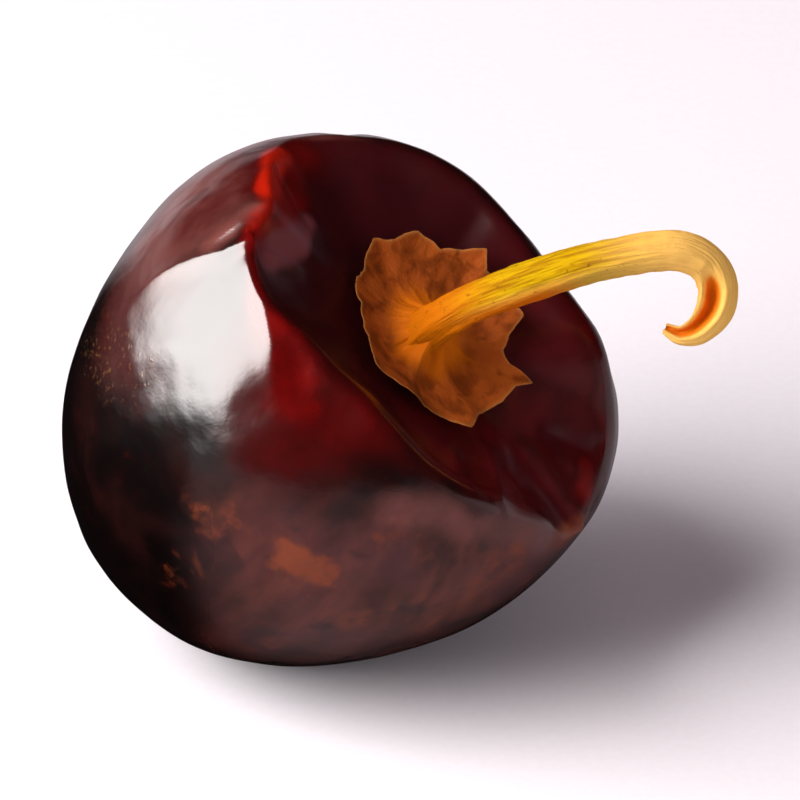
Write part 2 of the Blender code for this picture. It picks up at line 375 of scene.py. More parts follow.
# The window-like softbox on the left: its direction from the pepper, distance, width and height in
# metres, and brightness. Its cloth is shaped by fades: each is a way across the cloth and the
# distances in metres along that way at which the cloth is dark and fully lit.
KEY_DIRECTION = (-0.754, -0.123, 0.646)
KEY_DISTANCE = 0.6
KEY_SIZE = (1.3, 0.9)
KEY_RADIANCE = 10.6
KEY_FADES = (
    ((1.0, 0.0, 0.0), -0.7, 0.05),
    ((1.0, 0.0, 0.0), 0.52, 0.3),
    ((0.0, 1.0, 0.0), -0.44, -0.22),
    ((0.0, 1.0, 0.0), 0.36, 0.26),
    ((0.6, 0.8, 0.0), 0.36, 0.24),
    ((0.755, -0.656, 0.0), -0.222, -0.162),
)

# A faint fill from the right, which no glossy skin mirrors.
FILL_DIRECTION = (0.75, -0.6, 0.25)
FILL_DISTANCE = 0.8
FILL_SIZE = 0.5
FILL_POWER = 1.6

# The pale bands of the room that glossy skin mirrors: the way to each, how nearly a direction has to
# point that way for the band to start, and its colour. Both fade out upwards, between two values of
# a direction's Z.
ROOM_BANDS = (
    ((-0.38, 0.92, 0.0), 0.85, "9c8e92"),
    ((0.85, 0.52, 0.0), 0.9, "a08890"),
)
ROOM_BAND_TOP = 0.26
ROOM_BAND_FULL = 0.04


def pod_to_world():
    """The turn, move and change of unit from the pod's frame to the world."""
    turn = Matrix.Rotation(math.radians(SWING_DEG), 4, "Z")
    turn = turn @ Matrix.Rotation(math.radians(TILT_DEG), 4, "Y")
    turn = turn @ Matrix.Rotation(math.radians(SPIN_DEG), 4, "Z")
    return Matrix.Translation(Vector(POD_CENTRE) * MM) @ turn @ Matrix.Scale(MM, 4)


def around(table, column, azimuth):
    """A column of an azimuth table, read at any azimuths on a smooth closed curve through it."""
    knots = np.array([row[0] for row in table], float)
    values = np.array([row[column] for row in table], float)
    knots = np.concatenate((knots[-2:] - 360.0, knots, knots[:3] + 360.0))
    values = np.concatenate((values[-2:], values, values[:3]))
    slopes = np.gradient(values, knots)
    at = np.mod(azimuth - knots[1], 360.0) + knots[1]
    left = np.clip(np.searchsorted(knots, at, side="right") - 1, 0, len(knots) - 2)
    span = knots[left + 1] - knots[left]
    u = (at - knots[left]) / span
    rise = u * u * (3.0 - 2.0 * u)
    bend_out = u * (1.0 - u) ** 2 * span * slopes[left]
    bend_in = u * u * (u - 1.0) * span * slopes[left + 1]
    return values[left] * (1.0 - rise) + values[left + 1] * rise + bend_out + bend_in


def unit(azimuth, polar):
    """Directions from azimuths and angles from the stem's axis, in degrees."""
    azimuth = np.radians(azimuth)
    polar = np.radians(polar)
    flat = np.sin(polar)
    return np.stack((flat * np.cos(azimuth), flat * np.sin(azimuth), np.cos(polar)), axis=-1)


def outer_point(azimuth, polar):
    """A point of the swollen ball that the outer wall follows away from the rim."""
    direction = unit(azimuth, polar)
    radius = np.full(direction.shape[:-1], POD_RADIUS)
    for lobe_azimuth, lobe_polar, height, spread in SWELLINGS:
        cosine = np.clip(direction @ unit(lobe_azimuth, lobe_polar), -1.0, 1.0)
        radius = radius + height * np.exp(-((np.degrees(np.arccos(cosine)) / spread) ** 2))
    return direction * radius[..., None]


def rim_point(azimuth):
    """A point of the rim, before its fold is rounded."""
    angle = np.radians(azimuth)
    radius = around(RIM, 1, azimuth)
    return np.stack((radius * np.cos(angle), radius * np.sin(angle), around(RIM, 2, azimuth)), axis=-1)


def bowl_length(azimuth):
    """How far the rim is from the bowl's middle."""
    return np.linalg.norm(rim_point(azimuth) - np.array(BOWL_CENTRE), axis=-1)


def bowl_point(azimuth, share):
    """A point of the bowl, from its middle at share 0 to the rim at share 1."""
    rim = rim_point(azimuth)
    middle = np.array(BOWL_CENTRE)
    across = np.stack((share, share, share**BOWL_STEEPNESS), axis=-1)
    return middle + (rim - middle) * across


def wall_point(azimuth, share):
    """A point of the outer wall, from the rim at share 0 to the blossom end at share 1."""
    rim = rim_point(azimuth)
    flat = np.hypot(rim[..., 0], rim[..., 1])
    first = np.degrees(np.arctan2(flat, rim[..., 2]))
    start = outer_point(azimuth, first)
    miss = rim - start
    point = outer_point(azimuth, first + (180.0 - first) * share)
    return point + miss * np.exp(-((share / RIM_REACH) ** 2))[..., None]


def pod_point(azimuth, travel):
    """A point of the pod's skin, from its azimuth and its travel from the rim, below 0 in the bowl."""
    rim = rim_point(azimuth)
    inside_length = bowl_length(azimuth)
    rounding = around(RIM, 3, azimuth)
    inner = bowl_point(azimuth, np.clip(1.0 + np.minimum(travel, 0.0) / inside_length, 0.0, 1.0))
    outer = wall_point(azimuth, np.clip(travel / WALL_LENGTH, 0.0, 1.0))
    sharp = np.where((travel < 0.0)[..., None], inner, outer)
    near_inside = bowl_point(azimuth, 1.0 - rounding / inside_length)
    near_outside = wall_point(azimuth, rounding / WALL_LENGTH)
    blend = 0.5 + 0.5 * np.clip(travel / rounding, -1.0, 1.0)
    blend = blend[..., None]
    folded = near_inside * (1 - blend) ** 2 + 2.0 * rim * blend * (1 - blend) + near_outside * blend**2
    return np.where((np.abs(travel) < rounding)[..., None], folded, sharp)


def line_on_skin(route, steps=6):
    """Places along a line that is drawn on the skin from one (azimuth, travel) to the next."""
    route = np.array(route, float)
    route[:, 0] = np.degrees(np.unwrap(np.radians(route[:, 0])))
    at = np.arange(0.0, len(route) - 1 + 0.5 / steps, 1.0 / steps)
    knots = np.arange(len(route))
    return pod_point(np.interp(at, knots, route[:, 0]), np.interp(at, knots, route[:, 1]))


def measure_to_line(points, line, reach):
    """Each point's distance to a line within its reach, and how far along the line it lies, 0 to 1."""
    distances = np.full(len(points), np.inf)
    shares = np.zeros(len(points))
    near = np.all((points > line.min(axis=0) - reach) & (points < line.max(axis=0) + reach), axis=1)
    points = points[near]
    best = distances[near]
    share = shares[near]
    for index, (start, end) in enumerate(zip(line[:-1], line[1:])):
        span = end - start
        along = np.clip((points - start) @ span / (span @ span), 0.0, 1.0)
        distance = np.linalg.norm(points - start - along[:, None] * span, axis=1)
        nearer = distance < best
        best = np.where(nearer, distance, best)
        share = np.where(nearer, (index + along) / (len(line) - 1), share)
    distances[near] = best
    shares[near] = share
    return distances, shares


def smooth_step(value):
    """Rise from 0 to 1 with a value, with no rise at either end."""
    value = np.clip(value, 0.0, 1.0)
    return value * value * (3.0 - 2.0 * value)


def fold_height(points, height, half_width, crispness, start_taper, end_taper, route):
    """How high a row of FOLDS lifts each point."""
    distance, share = measure_to_line(points, line_on_skin(route), half_width)
    closeness = np.clip(1.0 - distance / half_width, 0.0, 1.0)
    profile = crispness * closeness**2 + (1.0 - crispness) * smooth_step(closeness)
    started = smooth_step(share / max(start_taper, TINY))
    to_come = smooth_step((1.0 - share) / max(end_taper, TINY))
    return height * profile * started * to_come


def painted(points, strokes):
    """How strongly a set of soft-edged strokes covers each point, from 0 to 1."""
    cover = np.zeros(len(points))
    for strength, half_width, route in strokes:
        distance, _ = measure_to_line(points, line_on_skin(route), half_width)
        stroke = strength * smooth_step(STROKE_GAIN * (1.0 - distance / half_width))
        cover = 1.0 - (1.0 - cover) * (1.0 - stroke)
    return cover


def noise_at(points, size):
    """Smooth noise between about -1 and 1 whose bumps are about as wide as size."""
    return np.array([noise.noise(Vector(point)) for point in points / size])


def relief(points, layers):
    """Layers of smooth noise added up, each given by its height and its bumps' width."""
    return sum(height * noise_at(points, width) for height, width in layers)


def new_sphere(round_count, rings):
    """A grid rolled into a ball, and the azimuth in degrees and the ring number of each vertex."""
    bm = bmesh.new()
    bmesh.ops.create_grid(bm, x_segments=round_count, y_segments=rings, size=1.0)
    for vertex in bm.verts:
        turn = vertex.co.x * math.pi
        tilt = (1.0 - vertex.co.y) * math.pi / 2.0
        flat = math.sin(tilt)
        vertex.co = (flat * math.cos(turn), flat * math.sin(turn), math.cos(tilt))
    bmesh.ops.remove_doubles(bm, verts=bm.verts, dist=TINY)
    mesh = bpy.data.meshes.new("shape")
    bm.to_mesh(mesh)
    bm.free()
    places = read_vectors(mesh.vertices, "co")
    azimuth = np.degrees(np.arctan2(places[:, 1], places[:, 0]))
    ring = np.arccos(np.clip(places[:, 2], -1.0, 1.0)) / np.pi * rings
    return mesh, azimuth, ring


def read_vectors(items, field):
    """One row of three numbers for each item of a mesh."""
    values = np.empty(len(items) * 3)
    items.foreach_get(field, values)
    return values.reshape(-1, 3)


def move_vertices(mesh, places):
    """Put a mesh's vertices in new places."""
    mesh.vertices.foreach_set("co", places.ravel())
    mesh.update()


def store(mesh, name, values):
    """Keep a number or a vector for each vertex, for the material to read."""
    if values.ndim == 1:
        mesh.attributes.new(name, "FLOAT", "POINT").data.foreach_set("value", values)
    else:
        mesh.attributes.new(name, "FLOAT_VECTOR", "POINT").data.foreach_set("vector", values.ravel())


def finish_piece(name, mesh, material, node):
    """Set a shaped mesh down in the world as a piece that stands for a CAD node."""
    mesh.transform(pod_to_world())
    # What would be under the table is pressed flat, as the pod's underside is where it rests.
    places = read_vectors(mesh.vertices, "co")
    places[:, 2] = np.maximum(places[:, 2], 0.0)
    move_vertices(mesh, places)
    mesh.shade_smooth()
    mesh.materials.append(material)
    mesh.name = name
    piece = bpy.data.objects.new(name, mesh)
    bpy.context.scene.collection.objects.link(piece)
    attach(piece, "root")
    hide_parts(node)


def lengthwise_places(points, azimuth, travel):
    """Places in which a pattern as wide as a crease comes out as long as one down the wall."""
    flat = np.hypot(points[:, 0], points[:, 1])
    turned = np.radians(azimuth)
    places = np.stack((flat * np.cos(turned), flat * np.sin(turned), travel), axis=-1)
    return places * (1.0, 1.0, CREASE_WIDTH / CREASE_LENGTH)


def paint_pod(mesh, points, travel):
    """Store how strongly each set of strokes and each zone covers the pod's skin."""
    shifts = [noise_at(points + shift, WANDER_SIZE) for shift in WANDER_SHIFTS]
    wandered = points + WANDER * np.stack(shifts, axis=-1)
    steadier = (1.0 - SLIGHT_WANDER) * points + SLIGHT_WANDER * wandered
    for name, strokes in (("thin_skin", THIN_SKIN), ("rust", RUST), ("weathered", WEATHERED)):
        store(mesh, name, painted(wandered, strokes))
    for name, strokes in (("crest", CREST), ("bloom_and_sheen", BLOOM_AND_SHEEN), ("facet", FACET), ("specks", SPECKS)):
        store(mesh, name, painted(steadier, strokes))
    store(mesh, "inside_bowl", smooth_step(0.5 - travel / BOWL_EDGE_WIDTH))
    # Painted light: how far each place lies towards the bowl's lit side.
    towards_lit_side = points @ unit(LIT_AZIMUTH, 90.0)
    store(mesh, "lit_side", smooth_step((towards_lit_side - LIT_FROM) / (LIT_TO - LIT_FROM)))


def make_pod(material):
    """The dried fruit wall: the outer wall, the folded rim and the caved-in bowl, closed all round."""
    # The ball's first rings spread over the bowl, up to the rim, and the rest run down the outer wall.
    mesh, azimuth, ring = new_sphere(POD_ROUND, POD_BOWL_RINGS + POD_WALL_RINGS)
    inward = np.clip(1.0 - ring / POD_BOWL_RINGS, 0.0, 1.0) ** RING_CROWDING
    outward = np.clip((ring - POD_BOWL_RINGS) / POD_WALL_RINGS, 0.0, 1.0) ** RING_CROWDING
    travel = outward * WALL_LENGTH - inward * bowl_length(azimuth)
    points = pod_point(azimuth, travel)
    move_vertices(mesh, points)
    normals = read_vectors(mesh.vertex_normals, "vector")

    lengthwise = lengthwise_places(points, azimuth, travel)
    height = sum(fold_height(points, *fold) for fold in FOLDS)
    height += relief(points, POD_BUMPS)
    height += CREASE_HEIGHT * noise_at(lengthwise, CREASE_WIDTH)
    move_vertices(mesh, points + normals * height[:, None])

    paint_pod(mesh, points, travel)
    store(mesh, "lengthwise", lengthwise)
    finish_piece("dried_pod", mesh, material, "pod")


def bowl_height(x, y):
    """The bowl's height at a place inside the rim."""
    across_x = x - BOWL_CENTRE[0]
    across_y = y - BOWL_CENTRE[1]
    azimuth = np.degrees(np.arctan2(y, x))
    share = np.zeros_like(x)
    for _ in range(BOWL_SEARCH_STEPS):
        rim = rim_point(azimuth)
        reach = np.hypot(rim[..., 0] - BOWL_CENTRE[0], rim[..., 1] - BOWL_CENTRE[1])
        share = np.clip(np.hypot(across_x, across_y) / reach, 0.0, 1.0)
        safe = np.maximum(share, TINY)
        rim_x = BOWL_CENTRE[0] + across_x / safe
        rim_y = BOWL_CENTRE[1] + across_y / safe
        azimuth = np.degrees(np.arctan2(rim_y, rim_x))
    rim = rim_point(azimuth)
    return BOWL_CENTRE[2] + (rim[..., 2] - BOWL_CENTRE[2]) * share**BOWL_STEEPNESS


def calyx_edge(azimuth):
    """The calyx's torn outline: straight tears from tip to notch, with small nicks."""
    knots = np.array([row[0] for row in CALYX_OUTLINE], float)
    radii = np.array([row[1] for row in CALYX_OUTLINE], float)
    plain = np.interp(azimuth, knots, radii, period=360.0)
    turned = np.radians(azimuth)
    circle = np.stack((np.cos(turned), np.sin(turned), 0.0 * turned), axis=-1)
    return plain + relief(circle, CALYX_NICKS)


def make_calyx(material):
    """The papery star: a thin sheet that hugs the bowl, with lifted lobes and a collar up the stem."""
    # The ball is squashed into a sheet: the first half of its rings is the top, the rest the underside.
    mesh, azimuth, ring = new_sphere(CALYX_ROUND, CALYX_RINGS)
    half = CALYX_RINGS / 2.0
    top = ring <= half
    share = np.where(top, ring / half, 2.0 - ring / half)
    share = np.sin(np.clip(share, 0.0, 1.0) * np.pi / 2.0)
    edge = np.sqrt(np.clip(1.0 - share**CALYX_EDGE_POWER, 0.0, 1.0))
    turned = np.radians(azimuth)
    radius = calyx_edge(azimuth) * share
    x = BOWL_CENTRE[0] + radius * np.cos(turned)
    y = BOWL_CENTRE[1] + radius * np.sin(turned)
    flat = np.stack((x, y, 0.0 * x), axis=-1)
    radial = np.stack((np.cos(turned), np.sin(turned), VEIN_DRIFT * radius), axis=-1)

    lift = CALYX_LIFT * share**CALYX_LIFT_POWER * (1.0 + relief(flat, LIFT_NOISE))
    from_stem = np.hypot(x - COLLAR_CENTRE[0], y - COLLAR_CENTRE[1])
    collar_reach = COLLAR_RADIUS * (1.0 + relief(radial * (1.0, 1.0, 0.0), COLLAR_NOISE))
    collar = COLLAR_HEIGHT * np.exp(-((from_stem / collar_reach) ** 2))
    crumple = relief(flat, CALYX_CRUMPLES) * share
    veins = VEIN_DEPTH * np.abs(noise_at(radial, VEIN_WIDTH)) * smooth_step(radius / VEIN_START)
    middle = bowl_height(x, y) + CALYX_GAP + CALYX_THICKNESS / 2.0 + lift + collar + crumple - veins
    side = np.where(top, 1.0, -1.0)
    height = middle + side * edge * CALYX_THICKNESS / 2.0
    move_vertices(mesh, np.stack((x, y, height), axis=-1))

    store(mesh, "radial", radial)
    store(mesh, "from_middle", share)
    finish_piece("papery_calyx", mesh, material, "calyx")


def smooth_route(points, steps):
    """Points on a smooth curve through the given ones, with steps new spans to each old one."""
    points = np.array(points)
    ends = (2 * points[0] - points[1], 2 * points[-1] - points[-2])
    known = np.vstack((ends[0], points, ends[1]))
    route = []
    for index in range(1, len(known) - 2):
        before, start, end, after = known[index - 1 : index + 3]
        for step in range(steps):
            u = step / steps
            route.append(
                start
                + 0.5 * u * (end - before)
                + u * u * (before - 2.5 * start + 2.0 * end - 0.5 * after)
                + 0.5 * u**3 * (3.0 * (start - end) + after - before)
            )
    route.append(points[-1])
    return np.array(route)


def normalised(vectors):
    """Vectors made one long."""
    return vectors / np.linalg.norm(vectors, axis=-1, keepdims=True)


def towards_camera():
    """The direction from the pepper to the camera."""
    elevation = math.radians(CAMERA_ELEVATION_DEG)
    return Vector((0.0, -math.cos(elevation), math.sin(elevation)))


def in_pod_frame(direction):
    """A direction in the world, as it is in the pod's frame."""
    return np.array((pod_to_world().to_3x3().inverted() @ direction).normalized())


def make_stem(material):
    """The woody stem: ribbed and fibrous, flared at its root and split open along its hook."""
    route = smooth_route(STEM_ROUTE, STEM_STEPS)
    middle, plain_radius = route[:, :3], route[:, 3]
    steps = np.linalg.norm(np.diff(middle, axis=0), axis=1)
    distance = np.concatenate(((0.0,), np.cumsum(steps)))
    forward = normalised(np.gradient(middle, axis=0))
    front = np.tile(in_pod_frame(towards_camera()), (len(route), 1))
    front = normalised(front - forward * np.sum(front * forward, axis=1, keepdims=True))
    across = np.cross(forward, front)

    # Each ring of the ball is a place along the route, but for a few that round off the two ends.
    rings = len(route) - 1 + 2 * STEM_CAP_RINGS
    mesh, azimuth, ring = new_sphere(STEM_ROUND, rings)
    turned = np.radians(azimuth)
    at = np.clip(np.round(ring).astype(int) - STEM_CAP_RINGS, 0, len(route) - 1)
    cap = np.minimum(ring, rings - ring) / STEM_CAP_RINGS
    cap = np.sin(np.clip(cap, 0.0, 1.0) * np.pi / 2.0)
    along = distance[at]
    radius = plain_radius[at] + STEM_FLARE * np.exp(-along / STEM_FLARE_LENGTH)
    rib = 1.0 - np.abs(np.sin(0.5 * STEM_RIBS * (turned + STEM_RIB_TURN * along)))
    fibre = np.stack((np.cos(turned), np.sin(turned), along * FIBRE_STEP), axis=-1)
    radius = radius * (1.0 - STEM_RIB_HEIGHT / 2.0 + STEM_RIB_HEIGHT * rib)
    radius = radius + relief(fibre, FIBRES) + relief(fibre * (1.0, 1.0, KNOB_SHORTNESS), KNOBS)
    radius = radius * cap

    # The split is pressed in from the side that faces the camera.
    ahead = radius * np.cos(turned)
    aside = radius * np.sin(turned)
    opening = smooth_step((along - SPLIT_START) / (SPLIT_OPEN - SPLIT_START))
    offset = (aside - SPLIT_OFFSET * plain_radius[at]) / (SPLIT_HALF_WIDTH * plain_radius[at])
    groove = np.clip(1.0 - offset**2, 0.0, 1.0) ** 2 * opening * (ahead > 0.0)
    deepening = smooth_step(ahead / (SPLIT_EDGE * radius.clip(SPLIT_LEAST_RADIUS)))
    ahead = ahead - SPLIT_DEPTH * plain_radius[at] * groove * deepening
    outward = front[at] * ahead[:, None] + across[at] * aside[:, None]
    move_vertices(mesh, middle[at] + outward)

    down = in_pod_frame(Vector((0.0, 0.0, -1.0)))
    store(mesh, "fibre", fibre)
    store(mesh, "groove", groove)
    store(mesh, "below", np.sum(normalised(outward + TINY) * down, axis=1))
    store(mesh, "along", along)
    finish_piece("woody_stem", mesh, material, "stem")


def srgb(code):
    """A hex colour such as "a0522d" as linear red, green, blue and alpha."""
    channels = [int(code[start : start + 2], 16) / 255.0 for start in (0, 2, 4)]
    linear = [c / 12.92 if c <= 0.04045 else ((c + 0.055) / 1.055) ** 2.4 for c in channels]
    return (*linear, 1.0)


def add_node(tree, kind, inputs=None, output=0, **settings):
    """Add a node with its settings, link it, and give back one of its outputs.

    An input is a value, a hex colour or another node's output.
    """
    node = tree.nodes.new("ShaderNode" + kind)
    for name, value in settings.items():
        setattr(node, name, value)
    for name, value in (inputs or {}).items():
        if isinstance(value, bpy.types.NodeSocket):
            tree.links.new(value, node.inputs[name])
        else:
            node.inputs[name].default_value = srgb(value) if isinstance(value, str) else value
    return node.outputs[output]


def new_material(name):
    """An empty material, with its node tree and its shader."""
    material = bpy.data.materials.new(name)
    material.use_nodes = True
    tree = material.node_tree
    return material, tree, tree.nodes["Principled BSDF"]


def scaled_by(tree, amount, value, low, high, least=0.0, most=1.0):
    """An amount times a soft step, which goes from least to most as a value goes from low to high."""
    inputs = {"Value": value, "From Min": low, "From Max": high, "To Min": least, "To Max": most}
    step = add_node(tree, "MapRange", inputs, interpolation_type="SMOOTHSTEP")
    return add_node(tree, "Math", {0: amount, 1: step}, operation="MULTIPLY")


def lay_over(tree, under, over, value, low, high, least=0.0, most=1.0):
    """Lay a colour over another, with a cover from least to most as a value goes from low to high."""
    inputs = {"Value": value, "From Min": low, "From Max": high, "To Min": least, "To Max": most}
    cover = add_node(tree, "MapRange", inputs, interpolation_type="SMOOTHSTEP")
    return add_node(tree, "Mix", {0: cover, 6: under, 7: over}, 2, data_type="RGBA")


def ragged(tree, cover, pattern, amount):
    """A cover whose edge is made ragged by a pattern, which adds or takes away up to an amount."""
    change = scaled_by(tree, amount, pattern, NOISE_LOW, NOISE_HIGH, -1.0, 1.0)
    return add_node(tree, "Math", {0: cover, 1: change}, operation="ADD")


def bumped(tree, layers, strength, depth_mm):
    """The normals of a surface that patterns bump, each with its share of the relief."""
    height = 0.0
    for pattern, share in layers:
        height = add_node(tree, "Math", {0: pattern, 1: share, 2: height}, operation="MULTIPLY_ADD")
    inputs = {"Height": height, "Strength": strength, "Distance": depth_mm * MM}
    return add_node(tree, "Bump", inputs, "Normal")


def dried_chilli_skin():
    """Air-dried chilli skin: glossy and taut, nearly black where it is thick and red where it is thin."""
    material, tree, shader = new_material("air_dried_chilli_skin")
    place = add_node(tree, "TexCoord", output="Object")
    lengthwise = add_node(tree, "Attribute", output="Vector", attribute_name="lengthwise")
    names = ("thin_skin", "rust", "weathered", "crest", "bloom_and_sheen", "facet", "specks", "inside_bowl", "lit_side")
    thin, rust, weathered, crest, bloom_and_sheen, facet, specks, bowl, lit_side = (
        add_node(tree, "Attribute", output="Fac", attribute_name=name) for name in names
    )
    # Each pattern's places, how wide its features are there, and its detail, roughness and distortion.
    # The object's own places are in metres, and those down the wall are in millimetres.
    blotch, streak, smudge, fine, pucker, grain, flake = (
        add_node(
            tree,
            "TexNoise",
            {"Vector": on, "Scale": 1.0 / width, "Detail": detail, "Roughness": rough, "Distortion": bent},
            "Fac",
        )
        for on, width, detail, rough, bent in (
            (place, 4.5 * MM, 4.0, 0.5, 0.3),
            (lengthwise, 2.6, 4.0, 0.55, 0.0),
            (place, 2.8 * MM, 3.0, 0.5, 0.5),
            (place, 1.1 * MM, 4.0, 0.6, 0.0),
            (place, 1.8 * MM, 1.0, 0.5, 0.0),
            (place, 0.3 * MM, 2.0, 0.5, 0.0),
            (place, 0.34 * MM, 2.0, 0.5, 0.0),
        )
    )
    mottle = add_node(tree, "Mix", {0: 0.5, 2: blotch, 3: streak})

    # Thick skin is nearly black, and weathered skin is mottled in browns.
    colour = lay_over(tree, "070202", "190605", blotch, 0.4, 0.7)
    browned = lay_over(tree, "3a140d", "5c2419", mottle, 0.3, 0.65)
    browned = lay_over(tree, browned, "4c2226", blotch, 0.42, 0.66, 0.0, 0.75)
    browned = lay_over(tree, browned, "743627", streak, 0.45, 0.75, 0.0, 0.6)
    browned = lay_over(tree, browned, "2c1418", smudge, 0.52, 0.66, 0.0, 0.55)
    shows = scaled_by(tree, weathered, mottle, 0.3, 0.5, 0.75, 1.0)
    colour = add_node(tree, "Mix", {0: shows, 6: colour, 7: browned}, 2, data_type="RGBA")

    # The bowl is a deep wine red with painted light on its lit side, and the grey-pink bloom and painted
    # sheen stay outside it.
    inside = add_node(tree, "Mix", {0: lit_side, 6: "32060a", 7: "520a0f"}, 2, data_type="RGBA")
    inside = lay_over(tree, inside, "220407", mottle, 0.4, 0.62, 0.0, 0.6)
    colour = add_node(tree, "Mix", {0: bowl, 6: colour, 7: inside}, 2, data_type="RGBA")
    # The grey-pink bloom, which also paints the shoulder's sheen and a reflected streak, runs in streaks and
    # stays out of the bowl.
    bloom_and_sheen = scaled_by(tree, bloom_and_sheen, streak, 0.3, 0.7, 0.7, 1.15)
    bloom_and_sheen = scaled_by(tree, bloom_and_sheen, bowl, 0.3, 1.0, 1.0, 0.0)
    colour = add_node(tree, "Mix", {0: bloom_and_sheen, 6: colour, 7: "844842"}, 2, data_type="RGBA")

    # Rust, then thin skin, which reddens in three steps, the orange crest, the painted reflection on the
    # facet and the specks.
    colour = lay_over(tree, colour, "783210", ragged(tree, rust, fine, 0.3), 0.25, 1.1)
    reddened = ragged(tree, thin, fine, 0.0625)
    colour = lay_over(tree, colour, "380303", reddened, 0.0, 0.55)
    colour = lay_over(tree, colour, "500202", reddened, 0.35, 0.85)
    colour = lay_over(tree, colour, "7c0501", reddened, 0.55, 1.25)
    colour = lay_over(tree, colour, "a01603", ragged(tree, crest, fine, 0.125), 0.05, 1.0)
    colour = lay_over(tree, colour, "6c3439", facet, 0.1, 1.1)
    speck = scaled_by(tree, specks, flake, 0.56, 0.72)
    colour = add_node(tree, "Mix", {0: speck, 6: colour, 7: "5c3c20"}, 2, data_type="RGBA")
    tree.links.new(colour, shader.inputs["Base Color"])

    # Weathered skin and the bowl are duller, and the bowl has hardly any of the outside's waxy coat.
    rough = add_node(tree, "Math", {0: shows, 1: 0.18, 2: 0.22}, operation="MULTIPLY_ADD")
    rough = add_node(tree, "Math", {0: bowl, 1: 0.08, 2: rough}, operation="MULTIPLY_ADD")
    tree.links.new(rough, shader.inputs["Roughness"])
    tree.links.new(scaled_by(tree, 1.0, bowl, 0.2, 0.7, 1.0, 0.05), shader.inputs["Coat Weight"])
    shader.inputs["IOR"].default_value = 1.5
    shader.inputs["Coat Roughness"].default_value = 0.16
    shader.inputs["Coat IOR"].default_value = 1.5
    normals = bumped(tree, ((pucker, 1.0), (grain, 0.12), (speck, 0.1)), strength=0.3, depth_mm=0.2)
    tree.links.new(normals, shader.inputs["Normal"])
    tree.links.new(normals, shader.inputs["Coat Normal"])
    return material


def papery_calyx_skin():
    """A dried calyx: thin, papery and matt, with veins that spread from the stem and bleached edges."""
    material, tree, shader = new_material("sun_dried_calyx")
    place = add_node(tree, "TexCoord", output="Object")
    radial = add_node(tree, "Attribute", output="Vector", attribute_name="radial")
    from_middle = add_node(tree, "Attribute", output="Fac", attribute_name="from_middle")
    # The veins' scale is for a circle of radius 1, so they are about a fifth of a radian wide.
    vein = add_node(tree, "TexNoise", {"Vector": radial, "Scale": 5.0, "Detail": 2.0}, "Fac")
    inputs = {"Vector": place, "Scale": PER_MM / 1.6, "Detail": 3.0, "Distortion": 0.4}
    blotch = add_node(tree, "TexNoise", inputs, "Fac")
    grain = add_node(tree, "TexNoise", {"Vector": place, "Scale": PER_MM / 0.25, "Detail": 2.0}, "Fac")

    colour = lay_over(tree, "843004", "9a460a", vein, 0.25, 0.75)
    colour = lay_over(tree, colour, "6c300a", blotch, 0.38, 0.62, 0.0, 0.9)
    colour = lay_over(tree, colour, "9c501c", blotch, 0.62, 0.4, 0.0, 0.5)
    colour = lay_over(tree, colour, "a06a34", from_middle, 0.95, 1.0, 0.0, 0.6)
    colour = lay_over(tree, colour, "b85c02", from_middle, 0.6, 0.3)
    tree.links.new(colour, shader.inputs["Base Color"])
    shader.inputs["Roughness"].default_value = 0.75
    shader.inputs["IOR"].default_value = 1.45
    shader.inputs["Specular IOR Level"].default_value = 0.1
    normals = bumped(tree, ((vein, 1.0), (grain, 0.4), (blotch, 1.0)), strength=0.5, depth_mm=0.25)
    tree.links.new(normals, shader.inputs["Normal"])
    return material


def woody_stem_skin():
    """A dried fruit stem: golden, fibrous and matt, browner on its split side and at its root, with painted
    light below.
    """
    material, tree, shader = new_material("dried_woody_stem")
    place = add_node(tree, "TexCoord", output="Object")
    fibre = add_node(tree, "Attribute", output="Vector", attribute_name="fibre")
    groove, along, below = (
        add_node(tree, "Attribute", output="Fac", attribute_name=name)
        for name in ("groove", "along", "below")
    )
    # The strands' scale is for places where a radian round the stem counts as 1 and a millimetre along
    # it as FIBRE_STEP, so they are about a seventh of a radian wide and 3 mm long.
    strand = add_node(tree, "TexNoise", {"Vector": fibre, "Scale": 7.0, "Detail": 4.0}, "Fac")
    fleck = add_node(tree, "TexNoise", {"Vector": place, "Scale": PER_MM / 0.45, "Detail": 3.0}, "Fac")

    colour = lay_over(tree, "906202", "ba9402", strand, 0.35, 0.62)
    # Painted light and shade: the side that faces down is paler, and near the root it is orange with the
    # calyx's bounce light.
    colour = lay_over(tree, colour, "c09838", below, -0.35, 0.3)
    shaded_root = scaled_by(tree, scaled_by(tree, 1.0, below, -0.2, 0.5), along, 13.0, 9.0)
    colour = add_node(tree, "Mix", {0: shaded_root, 6: colour, 7: "cc6402"}, 2, data_type="RGBA")
    colour = lay_over(tree, colour, "b45e02", along, 8.5, 2.5)
    colour = lay_over(tree, colour, "6a3a06", fleck, 0.62, 0.74, 0.0, 0.6)
    colour = lay_over(tree, colour, "eab660", along, 12.0, 18.5, 0.0, 0.9)
    colour = lay_over(tree, colour, "de7c16", groove, 0.2, 0.6)
    tree.links.new(colour, shader.inputs["Base Color"])
    shader.inputs["Roughness"].default_value = 0.65
    shader.inputs["IOR"].default_value = 1.5
    shader.inputs["Specular IOR Level"].default_value = 0.04
    normals = bumped(tree, ((strand, 1.0), (fleck, 0.5)), strength=0.8, depth_mm=0.2)
    tree.links.new(normals, shader.inputs["Normal"])
    return material


